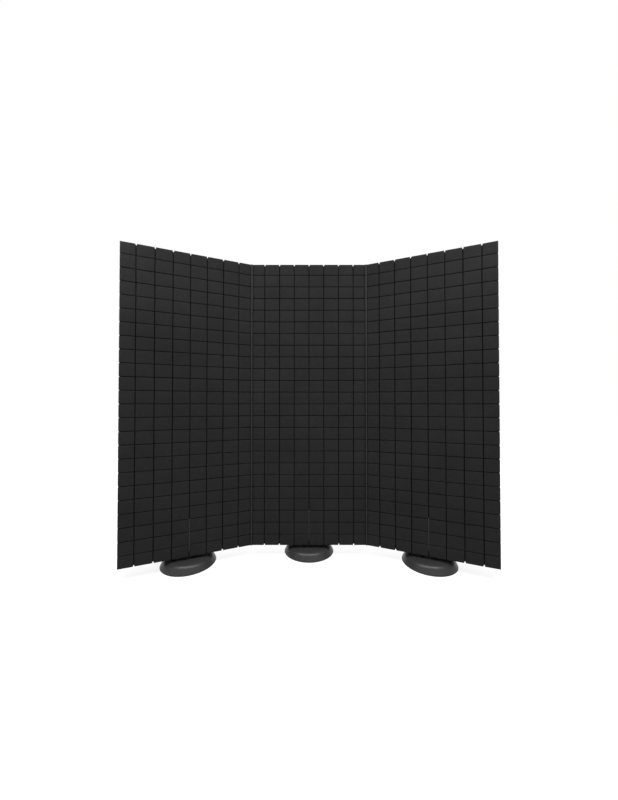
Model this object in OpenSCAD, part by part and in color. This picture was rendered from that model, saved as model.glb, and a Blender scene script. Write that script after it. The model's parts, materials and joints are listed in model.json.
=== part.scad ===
// Free-standing microphone isolation shield.
// Three kerf-cut acoustic foam panels, hinged to each other, each on its own round-base stand.
// Every panel is drawn in its own frame: X across, Y = 0 on the front foam face with the
// thickness towards +Y, Z = 0 on the floor. A hinge is drawn with its pin on the Z axis.

/* [Foam panels] */
// Width of one foam panel
panel_w = 494; // [460:2:520]
// Height of one foam panel
panel_h = 1220; // [1180:10:1260]
// Thickness of the kerf-cut front foam
front_foam_t = 38; // [34:1:44]
// Thickness of the plain rear foam behind the frame
rear_foam_t = 37; // [30:1:44]
// Thickness of the foam rim that wraps the frame's free edges
rim_t = 12; // [8:1:16]
// Bevel along the upright rear edges
rear_bevel = 9; // [4:1:14]
// Height of the foam's lower edge above the floor
floor_gap = 48; // [47:1:60]

/* [Kerf grid] */
// Columns of foam tiles
columns = 8; // [6:2:8]
// Rows of foam tiles
rows = 24; // [20:2:24]
// Distance between two upright kerfs
column_pitch = 64.4; // [58:0.2:65]
// Distance between two level kerfs
row_pitch = 51.2; // [48:0.2:52]
// Width of an upright kerf
column_kerf_w = 3.2; // [3.2:0.2:8]
// Width of a level kerf
row_kerf_w = 2.2; // [2:0.2:6]
// Depth of an upright kerf
column_kerf_depth = 16; // [14:1:26]
// Depth of a level kerf
row_kerf_depth = 14; // [12:1:26]

/* [Inner frame] */
// Thickness of the wooden frame, front to rear
frame_t = 36; // [34:1:42]
// Width of a stile
stile_w = 40; // [34:1:50]
// Height of a rail
rail_h = 60; // [50:2:80]
// Lowest point of the anchor fin above the foam's lower edge
fin_bottom = 20; // [16:1:30]
// Height of the anchor fin
fin_h = 130; // [100:5:160]
// Thickness of the anchor fin
fin_t = 2; // [1.5:0.5:2.5]
// How far the fin's edge stays behind the foam face
fin_setback = 5; // [3:1:12]

/* [Hinges] */
// Angle between the centre panel and each side panel, where 0 is one flat wall
fold_angle = 23; // [0:1:90]
// Outer radius of a hinge knuckle
knuckle_r = 2.5; // [2.4:0.1:2.8]
// Radius of the hinge pin
pin_r = 1.2; // [1:0.1:1.4]
// Knuckles along one hinge, fixed and moving together
knuckle_count = 23; // [15:2:31]
// Thickness of a hinge leaf
leaf_t = 1.2; // [1:0.1:1.3]
// Width of a hinge leaf, from the pin to its rear edge
leaf_w = 72; // [68:1:76]
// Screws along one leaf
leaf_screws = 6; // [4:1:8]

/* [Stands] */
// Radius of the round base at the floor
base_r = 109; // [104:1:120]
// Thickness of the rubber foot ring
foot_t = 4; // [3.5:0.5:5]
// Height of the base's hub
hub_top = 40; // [38:1:41]
// Outer radius of the pole
pole_r = 11.1; // [10.5:0.1:11.4]
// Wall of the pole
pole_wall = 1.5; // [1:0.1:2]
// Height of the pole's top above the floor
pole_top = 1150; // [1000:10:1160]

/* [Hidden] */
$fn = 64;

// Sides of the shield, which are also the direction of a side panel's free edge along X
LEFT = -1;
CENTER = 0;
RIGHT = 1;

FOAM = "#3a3a3b";
CASTING = "#37383a";
cut = 1;

// Panel build-up
panel_t = front_foam_t + frame_t + rear_foam_t;
foam_bottom = floor_gap;
foam_top = floor_gap + panel_h;
frame_bottom = foam_bottom + rim_t;
frame_top = foam_top - rim_t;
frame_rear = front_foam_t + frame_t;
pole_y = front_foam_t + frame_t / 2;

// Sleeve, bushes and running fit
sleeve_wall = 1.5;
bush_wall = 1.4;
running_fit = 0.05;
bush_bore_r = pole_r + running_fit;
sleeve_bore_r = bush_bore_r + bush_wall;
sleeve_r = sleeve_bore_r + sleeve_wall;
bush_h = 30;
sleeve_seat = 30;
sleeve_top = frame_top - rail_h + sleeve_seat;
infill_gap = 0.5;

// Stand details
socket_clear = 1.5;
flange_w = 92;
flange_d = 30;
flange_t = 3;
flange_bottom = frame_bottom - flange_t;
flange_screw_x = 36;
flange_screw_y = 9;
flange_screw_r = 2;
flange_screw_head_r = 4;
flange_screw_head_h = 2.4;
flange_screw_len = 28;
thrust_gap = 0.3;
washer_t = 2;
washer_r = 16.5;
washer_bottom = flange_bottom - thrust_gap - washer_t;
collar_r = 16;
collar_chamfer = 1.6;
pole_bottom = 10;
cap_plug = 22;
cap_head = 4;
foot_inner_r = 96;
foot_round = 1.5;

// Hinge details
leaf_gap = 0.6;
panel_gap = 2 * leaf_t + leaf_gap;
axis_setback = knuckle_r + 0.3;
hinge_x = panel_w / 2 + panel_gap / 2;
hinge_end_gap = 1;
hinge_bottom = foam_bottom + hinge_end_gap;
hinge_len = panel_h - 2 * hinge_end_gap;
knuckle_len = hinge_len / knuckle_count;
knuckle_end_gap = 0.3;
screw_r = 2;
screw_head_r = 3.6;
screw_len = 24;
screw_margin = 56;
recess_w = 1;
leaf_screw_y = axis_setback + pole_y;

// Origin: centre of the whole shield's footprint, at the floor
fold_reach = (panel_w + panel_gap / 2) * sin(fold_angle) - axis_setback * cos(fold_angle);
side_base_y = (panel_w / 2 + panel_gap / 2) * sin(fold_angle)
    - (axis_setback + pole_y) * cos(fold_angle);
front_reach = max(fold_reach, side_base_y + base_r, base_r - axis_setback - pole_y);
rear_reach = axis_setback + pole_y + base_r;
axis_y = (front_reach - rear_reach) / 2;

// ---- Places ----

// Moves a panel's own frame to its place in the shield
module place_panel(side) {
    if (side == CENTER)
        translate([0, axis_y + axis_setback, 0]) children();
    else
        translate([side * hinge_x, axis_y, 0])
            rotate([0, 0, -side * fold_angle])
                translate([side * hinge_x, axis_setback, 0]) children();
}

// Moves a stand's axis to the pole hole of its panel
module place_stand(side) {
    place_panel(side) translate([0, pole_y, 0]) children();
}

// Moves a hinge's fixed half to its pin line
module place_fixed(side) {
    translate([side * hinge_x, axis_y, 0]) children();
}

// Moves a hinge's moving half to its pin line, folded with the side panel
module place_moving(side) {
    place_fixed(side) rotate([0, 0, -side * fold_angle]) children();
}

// ---- Shapes ----

// A plate given by its lowest corner and its highest corner
module block(low, high) {
    translate(low) cube(high - low);
}

// An upright tube or ring between two heights
module tube(outer_r, bore_r, bottom, top) {
    difference() {
        translate([0, 0, bottom]) cylinder(r = outer_r, h = top - bottom);
        translate([0, 0, bottom - cut]) cylinder(r = bore_r, h = top - bottom + 2 * cut);
    }
}

// Points from p to q on a curve that bows out by rise at its middle
function bow(p, q, rise, steps = 6) =
    let (span = q - p, side = [span[1], -span[0]] / norm(span))
    [for (i = [0 : steps]) let (t = i / steps) p + span * t + side * rise * 4 * t * (1 - t)];

// True where a panel's edge on this side carries a hinge
function hinged(side, edge) = side != edge;

// Outer X of the frame on one edge: flush on a hinged edge, inside the rim on a free one
function frame_x(side, edge) = panel_w / 2 - (hinged(side, edge) ? 0 : rim_t);

// Heights of a leaf's screws
function leaf_screw_z(i) =
    hinge_bottom + screw_margin + i * (hinge_len - 2 * screw_margin) / (leaf_screws - 1);

// Shafts of the screws that hold a hinge leaf to a panel's stile
module stile_screw_holes(edge) {
    for (i = [0 : leaf_screws - 1])
        translate([edge * (panel_w / 2 + cut), pole_y, leaf_screw_z(i)])
            rotate([0, -edge * 90, 0])
                cylinder(r = screw_r, h = screw_len - leaf_t + cut, $fn = 24);
}

// Shafts of the screws that hold the socket flange
module flange_screw_holes() {
    for (x = [-flange_screw_x, flange_screw_x], y = [-flange_screw_y, flange_screw_y])
        translate([x, pole_y + y, flange_bottom]) cylinder(r = flange_screw_r, h = flange_screw_len, $fn = 24);
}

// Cross recess for a screwdriver, cut into a screw head at the origin from below
module cross_recess(across, depth) {
    for (turn = [0, 90])
        rotate([0, 0, turn])
            block([-across / 2, -recess_w / 2, -cut], [across / 2, recess_w / 2, depth]);
}

// ---- Panel pieces ----

// Front foam, cut into tiles by upright and level kerfs
module front_foam(side) {
    half = panel_w / 2;
    mid_z = (foam_bottom + foam_top) / 2;
    color(FOAM) place_panel(side) difference() {
        block([-half, 0, foam_bottom], [half, front_foam_t, foam_top]);
        for (k = [1 : columns - 1])
            translate([(k - columns / 2) * column_pitch, 0, 0])
                block(
                    [-column_kerf_w / 2, -cut, foam_bottom - cut],
                    [column_kerf_w / 2, column_kerf_depth, foam_top + cut]
                );
        for (k = [1 : rows - 1])
            translate([0, 0, mid_z + (k - rows / 2) * row_pitch])
                block([-half - cut, -cut, -row_kerf_w / 2], [half + cut, row_kerf_depth, row_kerf_w / 2]);
        // The middle kerf goes right through where the anchor fin stands
        block(
            [-column_kerf_w / 2, 0, foam_bottom + fin_bottom - 2],
            [column_kerf_w / 2, front_foam_t + cut, foam_bottom + fin_bottom + fin_h + 2]
        );
    }
}

// Rear foam, a bevelled slab with a rim around the frame's free edges
module rear_foam(side) {
    half = panel_w / 2;
    color(FOAM) place_panel(side) {
        difference() {
            translate([0, 0, foam_bottom]) linear_extrude(panel_h) polygon([
                [-half, front_foam_t], [half, front_foam_t], [half, panel_t - rear_bevel],
                [half - rear_bevel, panel_t], [rear_bevel - half, panel_t], [-half, panel_t - rear_bevel]
            ]);
            block(
                [-frame_x(side, LEFT) - (hinged(side, LEFT) ? cut : 0), front_foam_t - cut, frame_bottom],
                [frame_x(side, RIGHT) + (hinged(side, RIGHT) ? cut : 0), frame_rear, frame_top]
            );
            // Clear of the socket flange and the collar below the frame
            block(
                [-flange_w / 2 - socket_clear, front_foam_t - cut, foam_bottom - cut],
                [flange_w / 2 + socket_clear, frame_rear, frame_bottom + cut]
            );
        }
    }
}

// Two upright stiles of the wooden frame
module frame_stiles(side) {
    color("#b08d5b") place_panel(side) difference() {
        for (edge = [LEFT, RIGHT])
            translate([edge * (frame_x(side, edge) - stile_w / 2), 0, 0])
                block([-stile_w / 2, front_foam_t, frame_bottom], [stile_w / 2, frame_rear, frame_top]);
        for (edge = [LEFT, RIGHT])
            if (hinged(side, edge)) stile_screw_holes(edge);
    }
}

// Top and bottom rails of the wooden frame, bored for the sleeve
module frame_rails(side) {
    left_x = stile_w - frame_x(side, LEFT);
    right_x = frame_x(side, RIGHT) - stile_w;
    color("#b08d5b") place_panel(side) difference() {
        for (z = [frame_bottom, frame_top - rail_h])
            block([left_x, front_foam_t, z], [right_x, frame_rear, z + rail_h]);
        translate([0, pole_y, frame_bottom - cut]) cylinder(r = sleeve_r, h = sleeve_top - frame_bottom + cut);
        // Slot that lets the anchor fin through the bottom rail
        block(
            [-fin_t / 2, front_foam_t - cut, foam_bottom + fin_bottom],
            [fin_t / 2, pole_y, frame_bottom + rail_h + cut]
        );
        flange_screw_holes();
    }
}

// Two slabs of soft infill that fill the frame on either side of the sleeve
module core_infill(side) {
    low_z = frame_bottom + rail_h;
    high_z = frame_top - rail_h;
    color("#4a4a48") place_panel(side) {
        block([stile_w - frame_x(side, LEFT), front_foam_t, low_z], [-sleeve_r - infill_gap, frame_rear, high_z]);
        block([sleeve_r + infill_gap, front_foam_t, low_z], [frame_x(side, RIGHT) - stile_w, frame_rear, high_z]);
    }
}

// Tube down the middle of the panel that slips over the pole
module pole_sleeve(side) {
    color("#b9bcc0") place_stand(side) tube(sleeve_r, sleeve_bore_r, frame_bottom, sleeve_top);
}

// Plastic bushes in the sleeve, which turn on the pole
module sleeve_bushes(side) {
    color("#e4e2da") place_stand(side)
        for (z = [frame_bottom, pole_top - 2 * bush_h])
            tube(sleeve_bore_r, bush_bore_r, z, z + bush_h);
}

// Blade on the front of the sleeve that stands in the middle kerf and keeps the foam from turning
module anchor_fin(side) {
    color("#4a4b4d") place_panel(side) difference() {
        block(
            [-fin_t / 2, fin_setback, foam_bottom + fin_bottom],
            [fin_t / 2, pole_y - sleeve_r / 2, foam_bottom + fin_bottom + fin_h]
        );
        translate([0, pole_y, 0]) cylinder(r = sleeve_r, h = foam_top);
    }
}

// Plate under the bottom rail, which carries the panel on the thrust washer
module socket_flange(side) {
    color("#8e9094") place_panel(side) difference() {
        block(
            [-flange_w / 2, pole_y - flange_d / 2, flange_bottom],
            [flange_w / 2, pole_y + flange_d / 2, frame_bottom]
        );
        translate([0, pole_y, flange_bottom - cut]) cylinder(r = sleeve_bore_r, h = flange_t + 2 * cut);
        flange_screw_holes();
    }
}

// Four pan-head screws that hold the socket flange
module flange_screws(side) {
    head_r = flange_screw_head_r;
    color("#77797c") place_panel(side) {
        flange_screw_holes();
        for (x = [-flange_screw_x, flange_screw_x], y = [-flange_screw_y, flange_screw_y])
            translate([x, pole_y + y, flange_bottom - flange_screw_head_h]) difference() {
                cylinder(r1 = head_r - 1, r2 = head_r, h = flange_screw_head_h, $fn = 24);
                cross_recess(head_r, flange_screw_head_h / 2);
            }
    }
}

// ---- Stand pieces ----

// Cast round base: a sloping wall, a domed shoulder, a flat top and a hub, hollow underneath
module base(side) {
    rim_foot = [base_r - 1.5, foot_t];
    wall_top = [base_r - 11, 22];
    shoulder = [base_r - 25, 32];
    hub_foot = [37, 34.5];
    hub_rim = [33, hub_top - 1.5];
    color(CASTING) place_stand(side) rotate_extrude($fn = 96) polygon(concat(
        [[0, pole_bottom - 3], [0, pole_bottom], [pole_r, pole_bottom], [pole_r, hub_top], [31, hub_top]],
        [hub_rim],
        bow(hub_foot, shoulder, -1.6, 6),
        bow(shoulder, wall_top, -1.6, 7),
        bow(wall_top, rim_foot, -0.5, 4),
        [[foot_inner_r, foot_t], [foot_inner_r - 5, 15], [78, 23], [44, 25], [28, pole_bottom - 3]]
    ));
}

// Rubber ring under the base
module foot_ring(side) {
    color("#1b1b1c") place_stand(side) rotate_extrude($fn = 96) polygon([
        [foot_inner_r, 0], [base_r - foot_round, 0], [base_r, foot_round],
        [base_r, foot_t - foot_round], [base_r - foot_round, foot_t], [foot_inner_r, foot_t]
    ]);
}

// Upright pole
module pole(side) {
    color("#c3c5c8") place_stand(side) tube(pole_r, pole_r - pole_wall, pole_bottom, pole_top);
}

// Plastic plug in the pole's top end
module pole_cap(side) {
    color("#232324") place_stand(side) {
        translate([0, 0, pole_top - cap_plug]) cylinder(r = pole_r - pole_wall, h = cap_plug);
        translate([0, 0, pole_top]) cylinder(r1 = pole_r, r2 = pole_r - cap_head / 2, h = cap_head);
    }
}

// Hexagon collar that locks the pole into the hub
module lock_collar(side) {
    color("#2b2b2d") place_stand(side) difference() {
        intersection() {
            translate([0, 0, hub_top]) cylinder(r = collar_r, h = washer_bottom - hub_top, $fn = 6);
            rotate_extrude() polygon([
                [0, hub_top], [collar_r - collar_chamfer, hub_top], [collar_r, hub_top + collar_chamfer],
                [collar_r, washer_bottom - collar_chamfer], [collar_r - collar_chamfer, washer_bottom],
                [0, washer_bottom]
            ]);
        }
        translate([0, 0, hub_top - cut]) cylinder(r = pole_r, h = washer_bottom - hub_top + 2 * cut);
    }
}

// Plastic washer that the panel turns on
module thrust_washer(side) {
    color("#e4e2da") place_stand(side) tube(washer_r, pole_r, washer_bottom, washer_bottom + washer_t);
}

// ---- Hinge pieces ----

// One leaf of a full-height hinge: dir is the side of the pin the plate is on, first is its
// lowest knuckle and bore its pin hole
module hinge_leaf(dir, first, bore) {
    near_x = leaf_gap / 2;
    far_x = near_x + leaf_t;
    knuckles = [first : 2 : knuckle_count - 1];
    difference() {
        union() {
            mirror([dir < 0 ? 1 : 0, 0, 0])
                block([near_x, axis_setback, hinge_bottom], [far_x, leaf_w, hinge_bottom + hinge_len]);
            for (i = knuckles)
                translate([0, 0, hinge_bottom + i * knuckle_len + knuckle_end_gap / 2]) {
                    cylinder(r = knuckle_r, h = knuckle_len - knuckle_end_gap);
                    mirror([dir < 0 ? 1 : 0, 0, 0])
                        block([near_x, pin_r, 0], [far_x, axis_setback + cut, knuckle_len - knuckle_end_gap]);
                }
        }
        translate([0, 0, hinge_bottom - cut]) cylinder(r = bore, h = hinge_len + 2 * cut);
        at_leaf_screws(dir) {
            leaf_screw();
            translate([0, 0, -cut]) cylinder(r = screw_head_r, h = cut, $fn = 24);
        }
    }
}

// Repeats a screw drawn along +Z, with its head at the origin, down one leaf
module at_leaf_screws(dir) {
    for (i = [0 : leaf_screws - 1])
        translate([dir * leaf_gap / 2, leaf_screw_y, leaf_screw_z(i)]) rotate([0, dir * 90, 0]) children();
}

// One countersunk screw without its recess, which is also the shape of its hole
module leaf_screw() {
    cylinder(r1 = screw_head_r, r2 = screw_r, h = leaf_t, $fn = 24);
    cylinder(r = screw_r, h = screw_len, $fn = 24);
}

// One countersunk screw with its cross recess
module crossed_leaf_screw() {
    difference() {
        leaf_screw();
        cross_recess(screw_head_r * 1.1, leaf_t * 0.8);
    }
}

// Leaf on the centre panel, which grips the pin
module hinge_fixed_leaf(side) {
    color("#2b2b2c") place_fixed(side) hinge_leaf(-side, 0, pin_r);
}

// Leaf on the side panel, which turns on the pin
module hinge_moving_leaf(side) {
    color("#2e2e2f") place_moving(side) hinge_leaf(side, 1, pin_r + running_fit);
}

// Hinge pin, the full height of the hinge
module hinge_pin(side) {
    color("#9a9ca0") place_fixed(side)
        translate([0, 0, hinge_bottom]) cylinder(r = pin_r, h = hinge_len, $fn = 32);
}

// Screws of the fixed leaf
module hinge_fixed_screws(side) {
    color("#77797c") place_fixed(side) at_leaf_screws(-side) crossed_leaf_screw();
}

// Screws of the moving leaf
module hinge_moving_screws(side) {
    color("#77797c") place_moving(side) at_leaf_screws(side) crossed_leaf_screw();
}

front_foam(CENTER);  // center_front_foam
rear_foam(CENTER);  // center_rear_foam
core_infill(CENTER);  // center_core_infill
frame_stiles(CENTER);  // center_frame_stiles
frame_rails(CENTER);  // center_frame_rails
pole_sleeve(CENTER);  // center_pole_sleeve
sleeve_bushes(CENTER);  // center_sleeve_bushes
anchor_fin(CENTER);  // center_anchor_fin
socket_flange(CENTER);  // center_socket_flange
flange_screws(CENTER);  // center_flange_screws
base(CENTER);  // center_base
foot_ring(CENTER);  // center_foot_ring
pole(CENTER);  // center_pole
pole_cap(CENTER);  // center_pole_cap
lock_collar(CENTER);  // center_lock_collar
thrust_washer(CENTER);  // center_thrust_washer
front_foam(LEFT);  // left_front_foam
rear_foam(LEFT);  // left_rear_foam
core_infill(LEFT);  // left_core_infill
frame_stiles(LEFT);  // left_frame_stiles
frame_rails(LEFT);  // left_frame_rails
pole_sleeve(LEFT);  // left_pole_sleeve
sleeve_bushes(LEFT);  // left_sleeve_bushes
anchor_fin(LEFT);  // left_anchor_fin
socket_flange(LEFT);  // left_socket_flange
flange_screws(LEFT);  // left_flange_screws
base(LEFT);  // left_base
foot_ring(LEFT);  // left_foot_ring
pole(LEFT);  // left_pole
pole_cap(LEFT);  // left_pole_cap
lock_collar(LEFT);  // left_lock_collar
thrust_washer(LEFT);  // left_thrust_washer
front_foam(RIGHT);  // right_front_foam
rear_foam(RIGHT);  // right_rear_foam
core_infill(RIGHT);  // right_core_infill
frame_stiles(RIGHT);  // right_frame_stiles
frame_rails(RIGHT);  // right_frame_rails
pole_sleeve(RIGHT);  // right_pole_sleeve
sleeve_bushes(RIGHT);  // right_sleeve_bushes
anchor_fin(RIGHT);  // right_anchor_fin
socket_flange(RIGHT);  // right_socket_flange
flange_screws(RIGHT);  // right_flange_screws
base(RIGHT);  // right_base
foot_ring(RIGHT);  // right_foot_ring
pole(RIGHT);  // right_pole
pole_cap(RIGHT);  // right_pole_cap
lock_collar(RIGHT);  // right_lock_collar
thrust_washer(RIGHT);  // right_thrust_washer
hinge_fixed_leaf(LEFT);  // left_hinge_fixed_leaf
hinge_moving_leaf(LEFT);  // left_hinge_moving_leaf
hinge_pin(LEFT);  // left_hinge_pin
hinge_fixed_screws(LEFT);  // left_hinge_fixed_screws
hinge_moving_screws(LEFT);  // left_hinge_moving_screws
hinge_fixed_leaf(RIGHT);  // right_hinge_fixed_leaf
hinge_moving_leaf(RIGHT);  // right_hinge_moving_leaf
hinge_pin(RIGHT);  // right_hinge_pin
hinge_fixed_screws(RIGHT);  // right_hinge_fixed_screws
hinge_moving_screws(RIGHT);  // right_hinge_moving_screws
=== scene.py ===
"""Looks of the microphone isolation shield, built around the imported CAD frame.

Metres, +Z up, the kerf-cut fronts towards -Y. A panel's pieces are made in the panel's own frame, which has
X across, Y = 0 on the foam's front and Z up, and are then moved to the panel's place.
"""

import json
import math

import bmesh
import bpy
import numpy as np
from mathutils import Matrix, Vector


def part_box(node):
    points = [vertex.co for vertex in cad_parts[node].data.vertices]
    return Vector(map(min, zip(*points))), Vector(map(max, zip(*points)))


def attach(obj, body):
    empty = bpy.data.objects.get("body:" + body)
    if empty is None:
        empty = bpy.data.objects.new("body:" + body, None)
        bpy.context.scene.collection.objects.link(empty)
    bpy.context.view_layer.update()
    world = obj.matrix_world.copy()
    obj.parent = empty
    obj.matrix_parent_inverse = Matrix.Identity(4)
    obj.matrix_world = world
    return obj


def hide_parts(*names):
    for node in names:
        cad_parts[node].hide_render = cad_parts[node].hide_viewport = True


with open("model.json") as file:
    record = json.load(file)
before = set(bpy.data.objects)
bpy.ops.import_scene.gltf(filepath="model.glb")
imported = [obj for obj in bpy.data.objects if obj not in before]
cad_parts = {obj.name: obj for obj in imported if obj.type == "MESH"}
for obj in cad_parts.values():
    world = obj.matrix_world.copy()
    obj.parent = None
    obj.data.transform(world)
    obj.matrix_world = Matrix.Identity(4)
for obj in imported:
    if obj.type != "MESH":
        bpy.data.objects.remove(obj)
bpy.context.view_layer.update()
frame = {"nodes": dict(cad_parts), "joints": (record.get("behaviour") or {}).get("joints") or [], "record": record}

# ---- Sizes that repeat the CAD model's ----
SIDES = {"left": -1, "center": 0, "right": 1}
FOLD_DEG = 23.0
COLUMNS, ROWS = 8, 24
COLUMN_PITCH, ROW_PITCH = 0.0644, 0.0512
COLUMN_KERF, ROW_KERF = 0.0032, 0.0022
COLUMN_DEPTH, ROW_DEPTH = 0.016, 0.014
REAR_BEVEL = 0.009
STILE_W, RAIL_H = 0.040, 0.060
POLE_R = 0.0111
FOOT_INNER_R = 0.096

# ---- Places, worked out from the frame ----
front_low, front_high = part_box("center_front_foam")
fin_low, fin_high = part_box("center_anchor_fin")
frame_low, frame_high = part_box("center_frame_stiles")
rail_low, rail_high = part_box("center_frame_rails")
sleeve_low, sleeve_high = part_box("center_pole_sleeve")
ring_low, ring_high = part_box("center_foot_ring")
PANEL_W = front_high.x - front_low.x
FRONT_Y = front_low.y
FRONT_T = front_high.y - front_low.y
PANEL_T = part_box("center_rear_foam")[1].y - FRONT_Y
FOAM_LOW, FOAM_HIGH = front_low.z, front_high.z
PANEL_H = FOAM_HIGH - FOAM_LOW
MID_Z = (FOAM_LOW + FOAM_HIGH) / 2
FRAME_FRONT, FRAME_REAR = frame_low.y - FRONT_Y, frame_high.y - FRONT_Y
RIM = FOAM_HIGH - frame_high.z
SLEEVE_R = (sleeve_high.x - sleeve_low.x) / 2
BASE_R = (ring_high.x - ring_low.x) / 2
FOOT_T = ring_high.z
HUB_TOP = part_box("center_base")[1].z
JOINTS = {joint["name"]: joint for joint in frame["joints"]}
HINGE_X, AXIS_Y = JOINTS["right_fold"]["pos_m"][:2]
SETBACK = FRONT_Y - AXIS_Y


def panel_matrix(side):
    """From a panel's own frame to the shared frame."""
    if side == 0:
        return Matrix.Translation((0, FRONT_Y, 0))
    fold = Matrix.Rotation(math.radians(-side * FOLD_DEG), 4, "Z")
    return (
        Matrix.Translation((side * HINGE_X, AXIS_Y, 0))
        @ fold
        @ Matrix.Translation((side * HINGE_X, SETBACK, 0))
    )


def stand_centre(name):
    """Axis of a stand, as a point on the floor."""
    low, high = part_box(name + "_foot_ring")
    return Vector(((low.x + high.x) / 2, (low.y + high.y) / 2, 0))


# ---- Materials ----
def linear(grey, warmth=0.0):
    """A grey in linear light, neutral or a little warmer."""
    return (grey * (1 + warmth), grey, grey * (1 - warmth), 1)


class Nodes:
    """Builds one node material on a Principled shader."""

    def __init__(self, name, **sockets):
        self.material = bpy.data.materials.new(name)
        self.material.use_nodes = True
        self.tree = self.material.node_tree
        self.shader = self.tree.nodes["Principled BSDF"]
        self.coordinates = self.add("ShaderNodeTexCoord").outputs["Object"]
        for socket, value in sockets.items():
            self.shader.inputs[socket.replace("_", " ")].default_value = value

    def add(self, kind, **settings):
        node = self.tree.nodes.new(kind)
        for key, value in settings.items():
            setattr(node, key, value)
        return node

    def link(self, source, target):
        self.tree.links.new(source, target)

    def stretched(self, scale):
        """Object coordinates, scaled differently along each axis."""
        mapping = self.add("ShaderNodeMapping")
        mapping.inputs["Scale"].default_value = scale
        self.link(self.coordinates, mapping.inputs["Vector"])
        return mapping.outputs["Vector"]

    def noise(self, scale, detail=4.0, roughness=0.5, vector=None):
        node = self.add("ShaderNodeTexNoise")
        node.inputs["Scale"].default_value = scale
        node.inputs["Detail"].default_value = detail
        node.inputs["Roughness"].default_value = roughness
        self.link(vector or self.coordinates, node.inputs["Vector"])
        return node.outputs["Fac"]

    def cells(self, scale):
        """Distance from the middle of the nearest cell of an irregular foam."""
        node = self.add("ShaderNodeTexVoronoi", feature="F1")
        node.inputs["Scale"].default_value = scale
        self.link(self.coordinates, node.inputs["Vector"])
        return node.outputs["Distance"]

    def ramp(self, source, stops):
        """A colour ramp; each stop is a position and a colour."""
        node = self.add("ShaderNodeValToRGB")
        elements = node.color_ramp.elements
        while len(elements) < len(stops):
            elements.new(0.5)
        for element, (position, colour) in zip(elements, stops):
            element.position = position
            element.color = colour
        self.link(source, node.inputs["Fac"])
        return node.outputs["Color"]

    def span(self, source, low, high, out_low, out_high):
        """Maps low..high to out_low..out_high."""
        node = self.add("ShaderNodeMapRange")
        limits = {"From Min": low, "From Max": high, "To Min": out_low, "To Max": out_high}
        for socket, value in limits.items():
            node.inputs[socket].default_value = value
        self.link(source, node.inputs["Value"])
        return node.outputs["Result"]

    def mix(self, kind, factor, first, second):
        """Mixes two colours. The node has other sockets named A and B, so its colours go by number."""
        node = self.add("ShaderNodeMix", data_type="RGBA", blend_type=kind)
        node.inputs["Factor"].default_value = factor
        self.link(first, node.inputs[6])
        self.link(second, node.inputs[7])
        return node.outputs[2]

    def bump(self, source, distance, strength=1.0, after=None):
        """A bump from a height, on top of the bump that comes before it."""
        node = self.add("ShaderNodeBump")
        node.inputs["Distance"].default_value = distance
        node.inputs["Strength"].default_value = strength
        self.link(source, node.inputs["Height"])
        if after:
            self.link(after, node.inputs["Normal"])
        return node.outputs["Normal"]

    def colour(self, output):
        self.link(output, self.shader.inputs["Base Color"])

    def roughness(self, output):
        self.link(output, self.shader.inputs["Roughness"])

    def normal(self, output):
        self.link(output, self.shader.inputs["Normal"])


def foam_material():
    """Charcoal open-cell foam: pores darkened with painted shade, a fine grain and a soft mottle, over low lumps.
    """
    m = Nodes("charcoal_foam", Metallic=0.0, Specular_IOR_Level=0.0)
    mottle = m.ramp(m.noise(6.0, 8.0, 0.68), [(0.25, linear(0.0142)), (0.75, linear(0.0188))])
    grain = m.ramp(m.noise(230.0, 5.0, 0.7), [(0.3, linear(0.72)), (0.7, linear(1.0))])
    # painted shade: the colour darkens towards the middle of each pore, where the cell bump sinks the surface
    pore_shade = m.ramp(m.cells(600.0), [(0.06, linear(0.3)), (0.42, linear(1.0))])
    m.colour(m.mix("MULTIPLY", 0.8, m.mix("MULTIPLY", 0.7, mottle, grain), pore_shade))
    m.roughness(m.span(m.noise(400.0, 3.0), 0.3, 0.7, 0.86, 0.98))
    lumps = m.bump(m.noise(55.0, 3.0), 0.0008, 0.5)
    skin = m.bump(m.noise(420.0, 5.0, 0.7), 0.0009, 0.6, after=lumps)
    m.normal(m.bump(m.cells(600.0), 0.0012, 0.8, after=skin))
    return m.material


def casting_material():
    """Cast iron under a satin dark powder coat, with a fine orange peel."""
    m = Nodes("coated_casting", Metallic=0.0, Specular_IOR_Level=0.2)
    m.colour(m.ramp(m.noise(14.0, 6.0, 0.6), [(0.3, linear(0.018)), (0.7, linear(0.023))]))
    m.roughness(m.span(m.noise(60.0, 5.0, 0.6), 0.3, 0.7, 0.30, 0.38))
    broad = m.bump(m.noise(26.0, 2.0), 0.0006, 0.08)
    m.normal(m.bump(m.noise(950.0, 2.0, 0.5), 0.00016, 0.35, after=broad))
    return m.material


def rubber_material():
    """Matt black rubber, slightly uneven."""
    m = Nodes("black_rubber", Metallic=0.0, Specular_IOR_Level=0.35)
    m.colour(m.ramp(m.noise(40.0, 4.0), [(0.3, linear(0.010)), (0.7, linear(0.017))]))
    m.roughness(m.span(m.noise(120.0, 4.0), 0.3, 0.7, 0.62, 0.8))
    m.normal(m.bump(m.noise(600.0, 3.0), 0.0003, 0.4))
    return m.material


def drawn_metal(name, low, high, roughness, metallic=1.0):
    """Metal with fine lines drawn along Z, in tones between low and high."""
    m = Nodes(name, Metallic=metallic)
    lines = m.noise(14.0, 6.0, 0.7, vector=m.stretched((60.0, 60.0, 1.2)))
    m.colour(m.ramp(lines, [(0.3, linear(low)), (0.7, linear(high))]))
    m.roughness(m.span(lines, 0.3, 0.7, roughness, roughness + 0.12))
    m.normal(m.bump(lines, 0.00012, 0.4))
    return m.material


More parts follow.
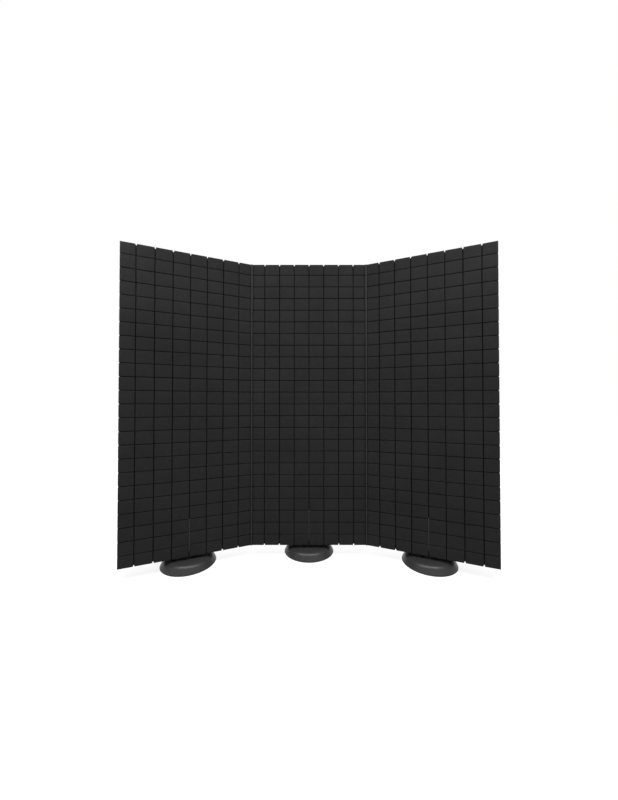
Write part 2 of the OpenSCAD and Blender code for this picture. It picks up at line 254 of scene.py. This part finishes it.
def painted_metal(name, low, high, roughness, specular):
    """Metal under a thin dark finish, with a fine grain and slight roughness changes."""
    m = Nodes(name, Metallic=0.0, Specular_IOR_Level=specular)
    m.colour(m.ramp(m.noise(30.0, 5.0, 0.6), [(0.3, linear(low)), (0.7, linear(high))]))
    m.roughness(m.span(m.noise(80.0, 4.0), 0.3, 0.7, roughness, roughness + 0.12))
    m.normal(m.bump(m.noise(900.0, 2.0), 0.00015, 0.4))
    return m.material


def wood_material():
    """Planed softwood, with growth rings stretched along the grain."""
    m = Nodes("planed_softwood", Metallic=0.0, Roughness=0.6)
    grain = m.noise(9.0, 6.0, 0.65, vector=m.stretched((9.0, 9.0, 0.5)))
    late, middle, early = (0.46, 0.27, 0.12, 1), (0.62, 0.41, 0.21, 1), (0.72, 0.52, 0.30, 1)
    m.colour(m.ramp(grain, [(0.35, late), (0.5, middle), (0.65, early)]))
    m.normal(m.bump(grain, 0.0004, 0.35))
    return m.material


def plastic_material(name, low, high, roughness):
    """Moulded plastic with a slight flow mottle."""
    m = Nodes(name, Metallic=0.0, Specular_IOR_Level=0.45)
    m.colour(m.ramp(m.noise(35.0, 4.0), [(0.3, linear(low, 0.02)), (0.7, linear(high, 0.02))]))
    m.roughness(m.span(m.noise(90.0, 3.0), 0.3, 0.7, roughness, roughness + 0.1))
    m.normal(m.bump(m.noise(500.0, 2.0), 0.0002, 0.3))
    return m.material


# One material for each of the record's slots
MATERIALS = {
    "acoustic_foam": foam_material(),
    "base_casting": casting_material(),
    "foot_rubber": rubber_material(),
    "frame_timber": wood_material(),
    "sleeve_aluminium": drawn_metal("extruded_aluminium", 0.52, 0.66, 0.30),
    "bush_nylon": plastic_material("white_nylon", 0.58, 0.66, 0.42),
    "fin_steel": painted_metal("black_enamel", 0.046, 0.058, 0.50, 0.3),
    "flange_steel": drawn_metal("pressed_steel", 0.30, 0.42, 0.36),
    "screw_steel": drawn_metal("screw_steel", 0.22, 0.32, 0.34),
    "pole_steel": drawn_metal("plated_steel", 0.50, 0.62, 0.16),
    "cap_plastic": plastic_material("black_cap", 0.014, 0.022, 0.5),
    "collar_steel": drawn_metal("blackened_steel", 0.030, 0.048, 0.38, metallic=0.6),
    "hinge_aluminium": painted_metal("black_anodising", 0.0135, 0.0175, 0.50, 0.18),
    "pin_steel": drawn_metal("ground_steel", 0.36, 0.48, 0.22),
}
MATERIALS["core_foam"] = MATERIALS["acoustic_foam"]


# ---- Mesh helpers ----
def finish_mesh(mesh, smooth_deg):
    """Turns the faces outwards and shades them smooth, with sharp edges above the given angle."""
    bm = bmesh.new()
    bm.from_mesh(mesh)
    bmesh.ops.recalc_face_normals(bm, faces=bm.faces)
    bm.to_mesh(mesh)
    bm.free()
    mesh.shade_smooth()
    mesh.set_sharp_from_angle(angle=math.radians(smooth_deg))


def new_object(name, mesh, material, smooth_deg):
    """Finishes a mesh and makes it an object of the scene."""
    finish_mesh(mesh, smooth_deg)
    piece = bpy.data.objects.new(name, mesh)
    bpy.context.scene.collection.objects.link(piece)
    mesh.materials.append(material)
    return piece


def object_from_points(name, points, faces, material, smooth_deg):
    """An object from points and the faces between them."""
    mesh = bpy.data.meshes.new(name)
    mesh.from_pydata([tuple(p) for p in points], [], [tuple(f) for f in faces])
    mesh.validate()
    return new_object(name, mesh, material, smooth_deg)


def place(piece, matrix, body, node):
    """Bakes a piece's place into its mesh, hands it to its body and hides the CAD node that it stands in for."""
    piece.data.transform(matrix)
    piece.data.update()
    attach(piece, body)
    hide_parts(node)


# ---- Kerf-cut front foam ----
EDGE_R = 0.0014  # round along every tile edge
EDGE_STEPS = 4
DRAFT = 0.0002  # how much narrower a kerf is at its floor, on each side
FACE_STOPS = (0.05, 0.15, 0.35, 0.65, 0.85, 0.95)  # grid lines over a tile, as shares of its width
CROWN = 0.0007  # how far a tile's edges drop below its middle
TILE_SINK = 0.0006  # most that a whole tile lies below the face
TILE_TILT = 0.0004  # most that a tile leans
WANDER = 0.0004  # how far a kerf strays sideways
KERF_VARIETY = 0.22  # how much the kerfs differ in width
FLARE = 0.0022  # how far a tile's edge draws back where a kerf runs out
FLARE_REACH = 0.0022  # distance along the kerf over which the flare fades
FLARE_SHARPNESS = 12  # how closely the flare keeps to the tile's edge
LEVEL_FLARE = 0.6  # flare of a level kerf, as a share of an upright one's
SLIT_CLEARANCE = 0.002  # between the anchor fin's ends and the slit's
SLIT_SKIN = 0.0005  # foam left behind the slit
BACK_GAP = 0.0001  # how far the foam's back stays short of the CAD solid's
FOAM_SMOOTH_DEG = 50.0


def cut_lines(count, pitch, size, kerfs, depth):
    """Grid lines across one direction of the cut face.

    Each line has its position, its drop below the face, its tile and its place in the tile. A kerf's lines
    have tile -1. The drop follows a small round along each tile edge, then the kerf's wall and floor. The
    place runs from -1 to 1 across a tile, and is 1, 0 and -1 on a kerf's low wall, floor and high wall.
    """
    turns = [math.pi / 2 * step / EDGE_STEPS for step in range(EDGE_STEPS + 1)]
    lines = []
    for tile in range(count):
        low = -size / 2 if tile == 0 else (tile - count / 2) * pitch + kerfs[tile - 1] / 2
        high = size / 2 if tile == count - 1 else (tile + 1 - count / 2) * pitch - kerfs[tile] / 2
        rising = [(low + EDGE_R * (1 - math.cos(a)), EDGE_R * (1 - math.sin(a))) for a in turns]
        flat = [(low + (high - low) * t, 0.0) for t in FACE_STOPS]
        falling = [(low + high - position, drop) for position, drop in reversed(rising)]
        for position, drop in rising + flat + falling:
            across = 2 * (position - low) / (high - low) - 1
            lines.append((position, drop, tile, across))
        if tile < count - 1:
            centre = (tile + 1 - count / 2) * pitch
            for wall in (1, 0, -1):
                lines.append((centre - wall * (kerfs[tile] / 2 - DRAFT), depth, -1, wall))
    return np.array(lines)


def wander(rng, kerfs, along):
    """How far each kerf strays sideways along its length, as the blade flexes."""
    phase = rng.uniform(0, 2 * math.pi, (kerfs, 2))
    wave = rng.uniform(0.18, 0.5, (kerfs, 2))
    first, second = (np.sin(2 * math.pi * along / wave[:, k, None] + phase[:, k, None]) for k in (0, 1))
    return WANDER * (0.6 * first + 0.4 * second)


def strayed(lines, pitch, count, strays):
    """Sideways shift of every grid line, blended from the kerfs beside it and zero at the outer edges."""
    place_in_kerfs = lines[:, 0] / pitch + count / 2
    padded = np.vstack([np.zeros_like(strays[:1]), strays, np.zeros_like(strays[:1])])
    below = np.clip(np.floor(place_in_kerfs).astype(int), 0, count - 1)
    share = np.clip(place_in_kerfs - below, 0, 1)
    return (1 - share)[:, None] * padded[below] + share[:, None] * padded[below + 1]


def flared(lines, size, ends):
    """How far each grid line draws back from its kerf where the kerf runs out at the foam's edge."""
    near_kerf = np.sign(lines[:, 3]) * np.abs(lines[:, 3]) ** FLARE_SHARPNESS
    near_kerf[np.abs(lines[:, 0]) > size / 2 - 2 * EDGE_R] = 0
    to_end = ends[-1] - np.abs(ends)
    return -near_kerf[:, None] * FLARE * np.exp(-to_end / FLARE_REACH)[None, :]


def face_drop(rng, across, up):
    """How far the cut face lies behind its plane, with each tile's own sink, lean and crown."""
    drop = np.maximum(across[:, 1][:, None], up[:, 1][None, :])
    tile_x, tile_z = across[:, 2].astype(int), up[:, 2].astype(int)
    on_tile = (tile_x[:, None] >= 0) & (tile_z[None, :] >= 0)
    sink = rng.uniform(0, TILE_SINK, (COLUMNS, ROWS))[tile_x][:, tile_z]
    lean_x = rng.uniform(-TILE_TILT, TILE_TILT, (COLUMNS, ROWS))[tile_x][:, tile_z]
    lean_z = rng.uniform(-TILE_TILT, TILE_TILT, (COLUMNS, ROWS))[tile_x][:, tile_z]
    u, v = across[:, 3][:, None], up[:, 3][None, :]
    crown = CROWN * (1 - (1 - u**4) * (1 - v**4))
    face = sink + TILE_TILT + lean_x * u / 2 + lean_z * v / 2 + crown
    return np.where(on_tile, drop + face, drop)


def open_fin_slit(drop, across, up):
    """Takes the middle kerf through the foam where the anchor fin stands."""
    middle_kerf = (np.abs(across[:, 0]) < COLUMN_KERF) & (across[:, 2] < 0)
    height = up[:, 0] + MID_Z
    beside_fin = (height > fin_low.z - SLIT_CLEARANCE) & (height < fin_high.z + SLIT_CLEARANCE)
    drop[np.ix_(middle_kerf, beside_fin)] = FRONT_T - SLIT_SKIN


def backed_grid(front, columns, rows):
    """Points and faces of a solid whose front is a grid of points and whose back is flat."""
    index = np.arange(columns * rows).reshape(columns, rows)
    faces = [
        (index[i, j], index[i + 1, j], index[i + 1, j + 1], index[i, j + 1])
        for i in range(columns - 1)
        for j in range(rows - 1)
    ]
    loop = np.concatenate([index[:, 0], index[-1, 1:], index[-2::-1, -1], index[0, -2:0:-1]])
    back = front[loop].copy()
    back[:, 1] = FRONT_T - EDGE_R / 2
    inset = back.copy()
    inset[:, 0] *= 1 - EDGE_R / PANEL_W
    inset[:, 2] = MID_Z + (inset[:, 2] - MID_Z) * (1 - EDGE_R / PANEL_H)
    inset[:, 1] = FRONT_T - BACK_GAP
    count, size = len(front), len(loop)
    for k in range(size):
        after = (k + 1) % size
        faces.append((loop[k], loop[after], count + after, count + k))
        faces.append((count + k, count + after, count + size + after, count + size + k))
    faces.append(tuple(count + size + k for k in range(size)))
    return np.vstack([front, back, inset]), faces


def front_foam(name, side, seed):
    """A panel's front foam, cut into tiles."""
    rng = np.random.default_rng(seed)
    column_kerfs = COLUMN_KERF * (1 + rng.uniform(-KERF_VARIETY, 0, COLUMNS - 1))
    row_kerfs = ROW_KERF * (1 + rng.uniform(-KERF_VARIETY, KERF_VARIETY / 2, ROWS - 1))
    across = cut_lines(COLUMNS, COLUMN_PITCH, PANEL_W, column_kerfs, COLUMN_DEPTH)
    up = cut_lines(ROWS, ROW_PITCH, PANEL_H, row_kerfs, ROW_DEPTH)
    x = across[:, 0][:, None] + strayed(across, COLUMN_PITCH, COLUMNS, wander(rng, COLUMNS - 1, up[:, 0]))
    z = up[:, 0][None, :] + strayed(up, ROW_PITCH, ROWS, wander(rng, ROWS - 1, across[:, 0])).T
    x = x + flared(across, PANEL_W, up[:, 0])
    z = z + flared(up, PANEL_H, across[:, 0]).T * LEVEL_FLARE
    drop = face_drop(rng, across, up)
    open_fin_slit(drop, across, up)

    front = np.stack([x, drop, z + MID_Z], axis=-1).reshape(-1, 3)
    points, faces = backed_grid(front, len(across), len(up))
    foam = MATERIALS["acoustic_foam"]
    piece = object_from_points(name + "_kerf_foam", points, faces, foam, FOAM_SMOOTH_DEG)
    place(piece, panel_matrix(side), name + "_panel", name + "_front_foam")


# ---- Rear foam and infill ----
SEAM = 0.0004  # between the front foam and the rear foam
CUT_MARGIN = 0.01  # how far a cut reaches past the foam's side
FLANGE_HALF = 0.0475  # half the width of the cut around the socket flange
FLANGE_CUT_RIMS = 1.2  # how far up that cut goes, in rims, so that it meets the frame's cut
INFILL_GAP = 0.0005  # around an infill slab
SLEEVE_GAP = 0.0008  # between the sleeve and an infill slab
INFILL_R = 0.003  # round along an infill slab's edges
NEAR = 0.001  # for telling which face an edge is on
LONG_RUN = 0.1  # for telling a block's own edges from a bevel's
BLOCK_SMOOTH_DEG = 40.0


def rear_upright(middle, run):
    return abs(run.z) > LONG_RUN and middle.y > PANEL_T - NEAR


def rear_level(middle, run):
    return abs(run.x) > LONG_RUN and middle.y > PANEL_T - NEAR


def front_edge(middle, run):
    return middle.y < FRONT_T + NEAR and abs(run.y) < NEAR


def any_edge(middle, run):
    return True


def middle_and_run(edge):
    """An edge's middle, and the way from its first end to its second."""
    first, second = (vertex.co for vertex in edge.verts)
    return (first + second) / 2, second - first


def bevelled_block(name, low, high, rules):
    """A foam block. Each rule rounds the edges that pass a test, and is (test, radius, steps)."""
    mesh = bpy.data.meshes.new(name)
    bm = bmesh.new()
    bmesh.ops.create_cube(bm, size=1.0)
    for vertex in bm.verts:
        vertex.co = [a + (b - a) * (c + 0.5) for a, b, c in zip(Vector(low), Vector(high), vertex.co)]
    for test, radius, steps in rules:
        edges = [edge for edge in bm.edges if test(*middle_and_run(edge))]
        bmesh.ops.bevel(
            bm, geom=edges, offset=radius, segments=steps, profile=0.5, affect="EDGES", clamp_overlap=True
        )
    bm.to_mesh(mesh)
    bm.free()
    return new_object(name, mesh, MATERIALS["acoustic_foam"], BLOCK_SMOOTH_DEG)


def carve(piece, low, high):
    """Cuts a plain box out of a piece."""
    tool = bevelled_block("carving_tool", low, high, [])
    modifier = piece.modifiers.new("carve", "BOOLEAN")
    modifier.operation = "DIFFERENCE"
    modifier.solver = "EXACT"
    modifier.object = tool
    bpy.context.view_layer.update()
    carved = bpy.data.meshes.new_from_object(piece.evaluated_get(bpy.context.evaluated_depsgraph_get()))
    piece.modifiers.remove(modifier)
    old, piece.data = piece.data, carved
    bpy.data.meshes.remove(old)
    bpy.data.objects.remove(tool)


def rear_foam(name, side):
    """A panel's rear foam, hollowed for the frame. Its rim wraps the edges that no hinge leaf is on."""
    half = PANEL_W / 2
    piece = bevelled_block(
        name + "_back_foam",
        (-half, FRONT_T + SEAM, FOAM_LOW),
        (half, PANEL_T, FOAM_HIGH),
        [(rear_upright, REAR_BEVEL, 6), (rear_level, REAR_BEVEL / 2, 5), (front_edge, EDGE_R, 3)],
    )
    cut_left = -half - CUT_MARGIN if side >= 0 else RIM - half
    cut_right = half + CUT_MARGIN if side <= 0 else half - RIM
    carve(piece, (cut_left, 0, FOAM_LOW + RIM), (cut_right, FRAME_REAR, FOAM_HIGH - RIM))
    flange_top = FOAM_LOW + FLANGE_CUT_RIMS * RIM
    carve(piece, (-FLANGE_HALF, 0, FOAM_LOW - RIM), (FLANGE_HALF, FRAME_REAR, flange_top))
    finish_mesh(piece.data, BLOCK_SMOOTH_DEG)
    place(piece, panel_matrix(side), name + "_panel", name + "_rear_foam")


def core_infill(name, side):
    """Two soft slabs in the frame, on either side of the sleeve."""
    for end, end_name in ((-1, "_left"), (1, "_right")):
        free_rim = RIM if side == end else 0.0
        inner_x = end * (SLEEVE_R + SLEEVE_GAP)
        outer_x = end * (PANEL_W / 2 - STILE_W - free_rim - INFILL_GAP)
        slab = bevelled_block(
            name + end_name + "_infill",
            (min(inner_x, outer_x), FRAME_FRONT + INFILL_GAP, rail_low.z + RAIL_H + INFILL_GAP),
            (max(inner_x, outer_x), FRAME_REAR - INFILL_GAP, rail_high.z - RAIL_H - INFILL_GAP),
            [(any_edge, INFILL_R, 3)],
        )
        place(slab, panel_matrix(side), name + "_panel", name + "_core_infill")


# ---- Turned stand pieces ----
TURN_STEPS = 128
TURN_SMOOTH_DEG = 32.0


def turned(name, outline, material):
    """A closed ring turned from an outline of (radius, height) points."""
    angles = np.linspace(0, 2 * math.pi, TURN_STEPS, endpoint=False)
    size = len(outline)
    points = [(r * math.cos(a), r * math.sin(a), h) for a in angles for r, h in outline]
    faces = []
    for i in range(TURN_STEPS):
        after = (i + 1) % TURN_STEPS
        for k in range(size):
            up = (k + 1) % size
            faces.append((i * size + k, after * size + k, after * size + up, i * size + up))
    return object_from_points(name, points, faces, material, TURN_SMOOTH_DEG)


def smooth_curve(points, steps):
    """Catmull-Rom curve through points of (radius, height)."""
    ended = [points[0]] + list(points) + [points[-1]]
    curve = []
    for k in range(1, len(ended) - 2):
        p0, p1, p2, p3 = (np.array(ended[k + d]) for d in (-1, 0, 1, 2))
        for t in np.linspace(0, 1, steps, endpoint=False):
            first_order = 2 * p1 + (p2 - p0) * t
            square = (2 * p0 - 5 * p1 + 4 * p2 - p3) * t**2
            cube = (3 * p1 - p0 - 3 * p2 + p3) * t**3
            curve.append(tuple(0.5 * (first_order + square + cube)))
    curve.append(tuple(points[-1]))
    return curve


def cast_base(name):
    """Round casting: a grooved hub, a domed top and a sloping wall, hollow underneath."""
    rim = BASE_R - 0.0015
    hub_foot = (0.0375, 0.0352)
    hub = [(0.0315, HUB_TOP), (0.0328, HUB_TOP - 0.0006), (0.0336, HUB_TOP - 0.002), hub_foot]
    dome = [
        hub_foot, (0.060, 0.0351), (0.0765, 0.0336), (0.0885, 0.0303),
        (0.0965, 0.0243), (0.1027, 0.0145), (rim, 0.0060),
    ]
    hollow = [
        (0.0935, 0.011), (0.0885, 0.017), (0.077, 0.0228), (0.060, 0.0246),
        (0.044, 0.0245), (0.036, 0.017), (0.029, 0.0075),
    ]
    outline = [(POLE_R, 0.010), (POLE_R, HUB_TOP - 0.001), (POLE_R + 0.001, HUB_TOP)]
    outline += [(0.0240, HUB_TOP), (0.0244, HUB_TOP - 0.0008), (0.0256, HUB_TOP - 0.0008), (0.0260, HUB_TOP)]
    outline += smooth_curve(hub, 4)[:-1] + smooth_curve(dome, 7)
    outline += [(rim, FOOT_T + 0.0004), (rim - 0.0004, FOOT_T), (0.0962, FOOT_T), (0.0955, 0.0065)]
    outline += smooth_curve(hollow, 4)
    outline += [(0.028, 0.007), (0.0001, 0.007), (0.0001, 0.010)]
    piece = turned(name + "_cast_base", outline, MATERIALS["base_casting"])
    place(piece, Matrix.Translation(stand_centre(name)), name + "_stand", name + "_base")


def foot_ring(name):
    """Rubber ring with a round outer lip and broken inner edges."""
    soft = 0.0012
    lip_r = FOOT_T / 2
    turns = np.linspace(-math.pi / 2, math.pi / 2, 9)
    lip = [(BASE_R - lip_r + lip_r * math.cos(a), lip_r + lip_r * math.sin(a)) for a in turns]
    inner_low = [(FOOT_INNER_R, FOOT_T - soft), (FOOT_INNER_R, soft), (FOOT_INNER_R + soft, 0.0)]
    outline = inner_low + lip + [(FOOT_INNER_R + soft, FOOT_T)]
    piece = turned(name + "_rubber_foot", outline, MATERIALS["foot_rubber"])
    place(piece, Matrix.Translation(stand_centre(name)), name + "_stand", name + "_foot_ring")


CAD_SMOOTH_DEG = 30


def paint_cad_nodes():
    """Gives every CAD node its slot's material."""
    slots = {part["node"]: part["material_slot"] for part in frame["record"]["subparts"]}
    for node, piece in frame["nodes"].items():
        piece.data.materials.clear()
        piece.data.materials.append(MATERIALS[slots[node]])
        piece.data.shade_smooth()
        piece.data.set_sharp_from_angle(angle=math.radians(CAD_SMOOTH_DEG))


# ---- Stage ----
def floor_material():
    """Matt white paper, lit through from below so that its far end stays white."""
    m = Nodes(
        "pale_floor", Metallic=0.0, Roughness=0.9, Specular_IOR_Level=0.2,
        Emission_Color=(1, 1, 1, 1), Emission_Strength=0.79,
    )
    m.colour(m.ramp(m.noise(3.0, 2.0), [(0.3, linear(0.2178)), (0.7, linear(0.22))]))
    return m.material


def floor():
    bpy.ops.mesh.primitive_plane_add(size=30, location=(0, 0, 0))
    plane = bpy.context.object
    plane.name = "floor"
    plane.data.materials.append(floor_material())


def soft_light(name, location, target, width, height, power):
    """A rectangular light that the camera doesn't see."""
    light = bpy.data.lights.new(name, "AREA")
    light.shape = "RECTANGLE"
    light.size, light.size_y = width, height
    light.energy = power
    piece = bpy.data.objects.new(name, light)
    piece.location = location
    piece.rotation_euler = (Vector(target) - Vector(location)).to_track_quat("-Z", "Y").to_euler()
    piece.visible_camera = False
    bpy.context.scene.collection.objects.link(piece)


def studio_lights():
    """White all round, a wide light overhead, one behind, and a small one for each outer top corner."""
    world = bpy.data.worlds.new("studio")
    world.use_nodes = True
    background = world.node_tree.nodes["Background"]
    background.inputs["Color"].default_value = (1, 1, 1, 1)
    background.inputs["Strength"].default_value = 1.0
    bpy.context.scene.world = world
    soft_light("overhead", (0, -1.0, 2.75), (0, -0.1, 1.0), 3.0, 0.8, 94)
    soft_light("corner_left", (-0.95, -0.45, 1.5), (-0.75, 0, 1.15), 0.3, 0.3, 5)
    soft_light("corner_right", (0.95, -0.45, 1.5), (0.75, 0, 1.15), 0.3, 0.3, 5)
    soft_light("behind", (0, 2.4, 1.2), (0, 0.1, 0.1), 3.4, 1.0, 75)
    bpy.context.scene.view_settings.view_transform = "Standard"


def camera():
    """A wide view from in front of the centre panel, at half its height, tipped up a little."""
    tip_up_deg = 0.792
    data = bpy.data.cameras.new("camera")
    data.sensor_fit = "AUTO"
    data.sensor_width = 36
    data.lens = 13.48
    data.clip_end = 100
    piece = bpy.data.objects.new("camera", data)
    piece.location = (0, -1.2874, 0.6575)
    piece.rotation_euler = (math.radians(90 + tip_up_deg), 0, 0)
    bpy.context.scene.collection.objects.link(piece)
    bpy.context.scene.camera = piece


# ---- Build ----
camera()
paint_cad_nodes()
for number, (name, side) in enumerate(SIDES.items()):
    front_foam(name, side, seed=11 + number)
    rear_foam(name, side)
    core_infill(name, side)
    cast_base(name)
    foot_ring(name)
floor()
studio_lights()
